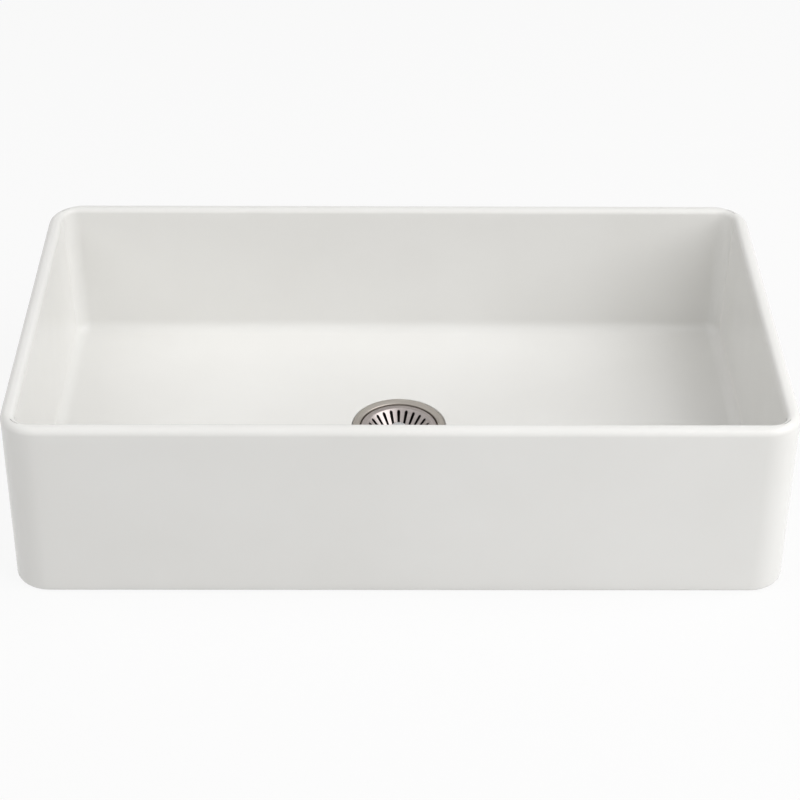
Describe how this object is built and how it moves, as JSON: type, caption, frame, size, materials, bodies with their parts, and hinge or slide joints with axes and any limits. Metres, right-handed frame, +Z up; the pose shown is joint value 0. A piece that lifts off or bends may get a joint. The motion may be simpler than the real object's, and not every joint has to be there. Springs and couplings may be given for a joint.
{
  "type": "farmhouse apron front kitchen sink",
  "caption": "Single-bowl fireclay apron front sink with straight apron, rounded corners and a basket strainer waste with lift-out basket and tailpiece.",
  "frame": {"origin": "in the plane of the sink's foot, under the middle of the basin's outer width and depth", "axes": "+Z up, +X to the right-hand end seen from the room, -Y out of the apron towards the room, +Y to the wall"},
  "size_m": [0.838, 0.483, 0.3406],
  "materials": {
    "fireclay_glaze": "gloss",
    "gasket_foam": "matte",
    "brushed_steel": "satin",
    "basket_steel": "satin",
    "post_steel": "satin",
    "polished_knob": "polished",
    "chromed_tube": "polished",
    "chromed_brass": "polished",
    "cast_zinc": "satin",
    "spring_wire": "satin",
    "plain_brass": "satin",
    "black_rubber": "matte",
    "fibre_board": "matte",
    "white_nylon": "matte"
  },
  "bodies": {
    "basin": {"sink_basin": "fireclay_glaze", "flange_gasket": "gasket_foam", "strainer_body": "brushed_steel", "under_washer": "black_rubber", "friction_washer": "fibre_board", "locknut": "cast_zinc", "outlet_cross": "brushed_steel", "catch_ring": "spring_wire", "tailpiece_washer": "white_nylon", "tailpiece": "chromed_tube", "coupling_nut": "chromed_brass"},
    "stopper": {"basket_post": "post_steel", "basket_knob": "polished_knob", "basket_clip": "spring_wire", "stopper_plate": "basket_steel", "stopper_seal": "black_rubber", "stopper_washer": "basket_steel", "stopper_nut": "plain_brass"},
    "basket": {"basket_shell": "basket_steel", "basket_bush": "white_nylon"}
  },
  "joints": [
    {"name": "basket_lift", "type": "slide", "parent": "basin", "child": "stopper", "axis": [0, 0, 1], "range_m": [0, 0.078]},
    {"name": "basket_turn", "type": "hinge", "parent": "stopper", "child": "basket", "pos_m": [0, 0.017, 0.041], "axis": [0, 0, 1], "continuous": true}
  ]
}
